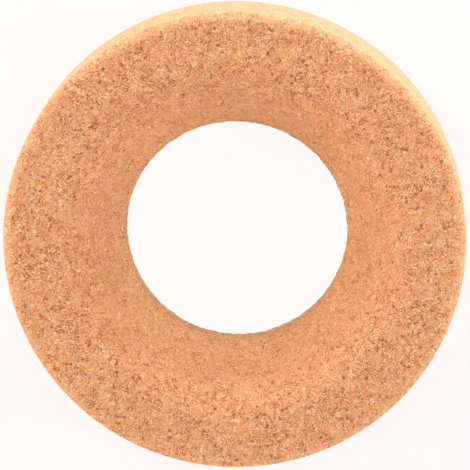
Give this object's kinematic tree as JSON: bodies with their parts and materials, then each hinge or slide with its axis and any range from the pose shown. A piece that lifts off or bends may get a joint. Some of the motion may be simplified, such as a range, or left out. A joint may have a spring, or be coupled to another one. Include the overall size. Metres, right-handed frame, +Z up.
{
  "type": "cork flask ring",
  "caption": "Round flask stand of pressed cork granules: a flat ring with a sloping funnel seat, a round through hole and softly rounded outer rims.",
  "frame": {"origin": "centre of the underside, on the axis of the hole", "axes": "+Z up along the axis of the hole, from the flat underside towards the seat; +X and +Y lie in the underside and are interchangeable on this round part"},
  "size_m": [0.14, 0.14, 0.03],
  "materials": {
    "pressed_cork": "sanded pressed cork granules, matt, tan with dark bark flecks, paler on the outer wall"
  },
  "bodies": {
    "root": {"cork_ring": "pressed_cork"}
  },
  "joints": []
}
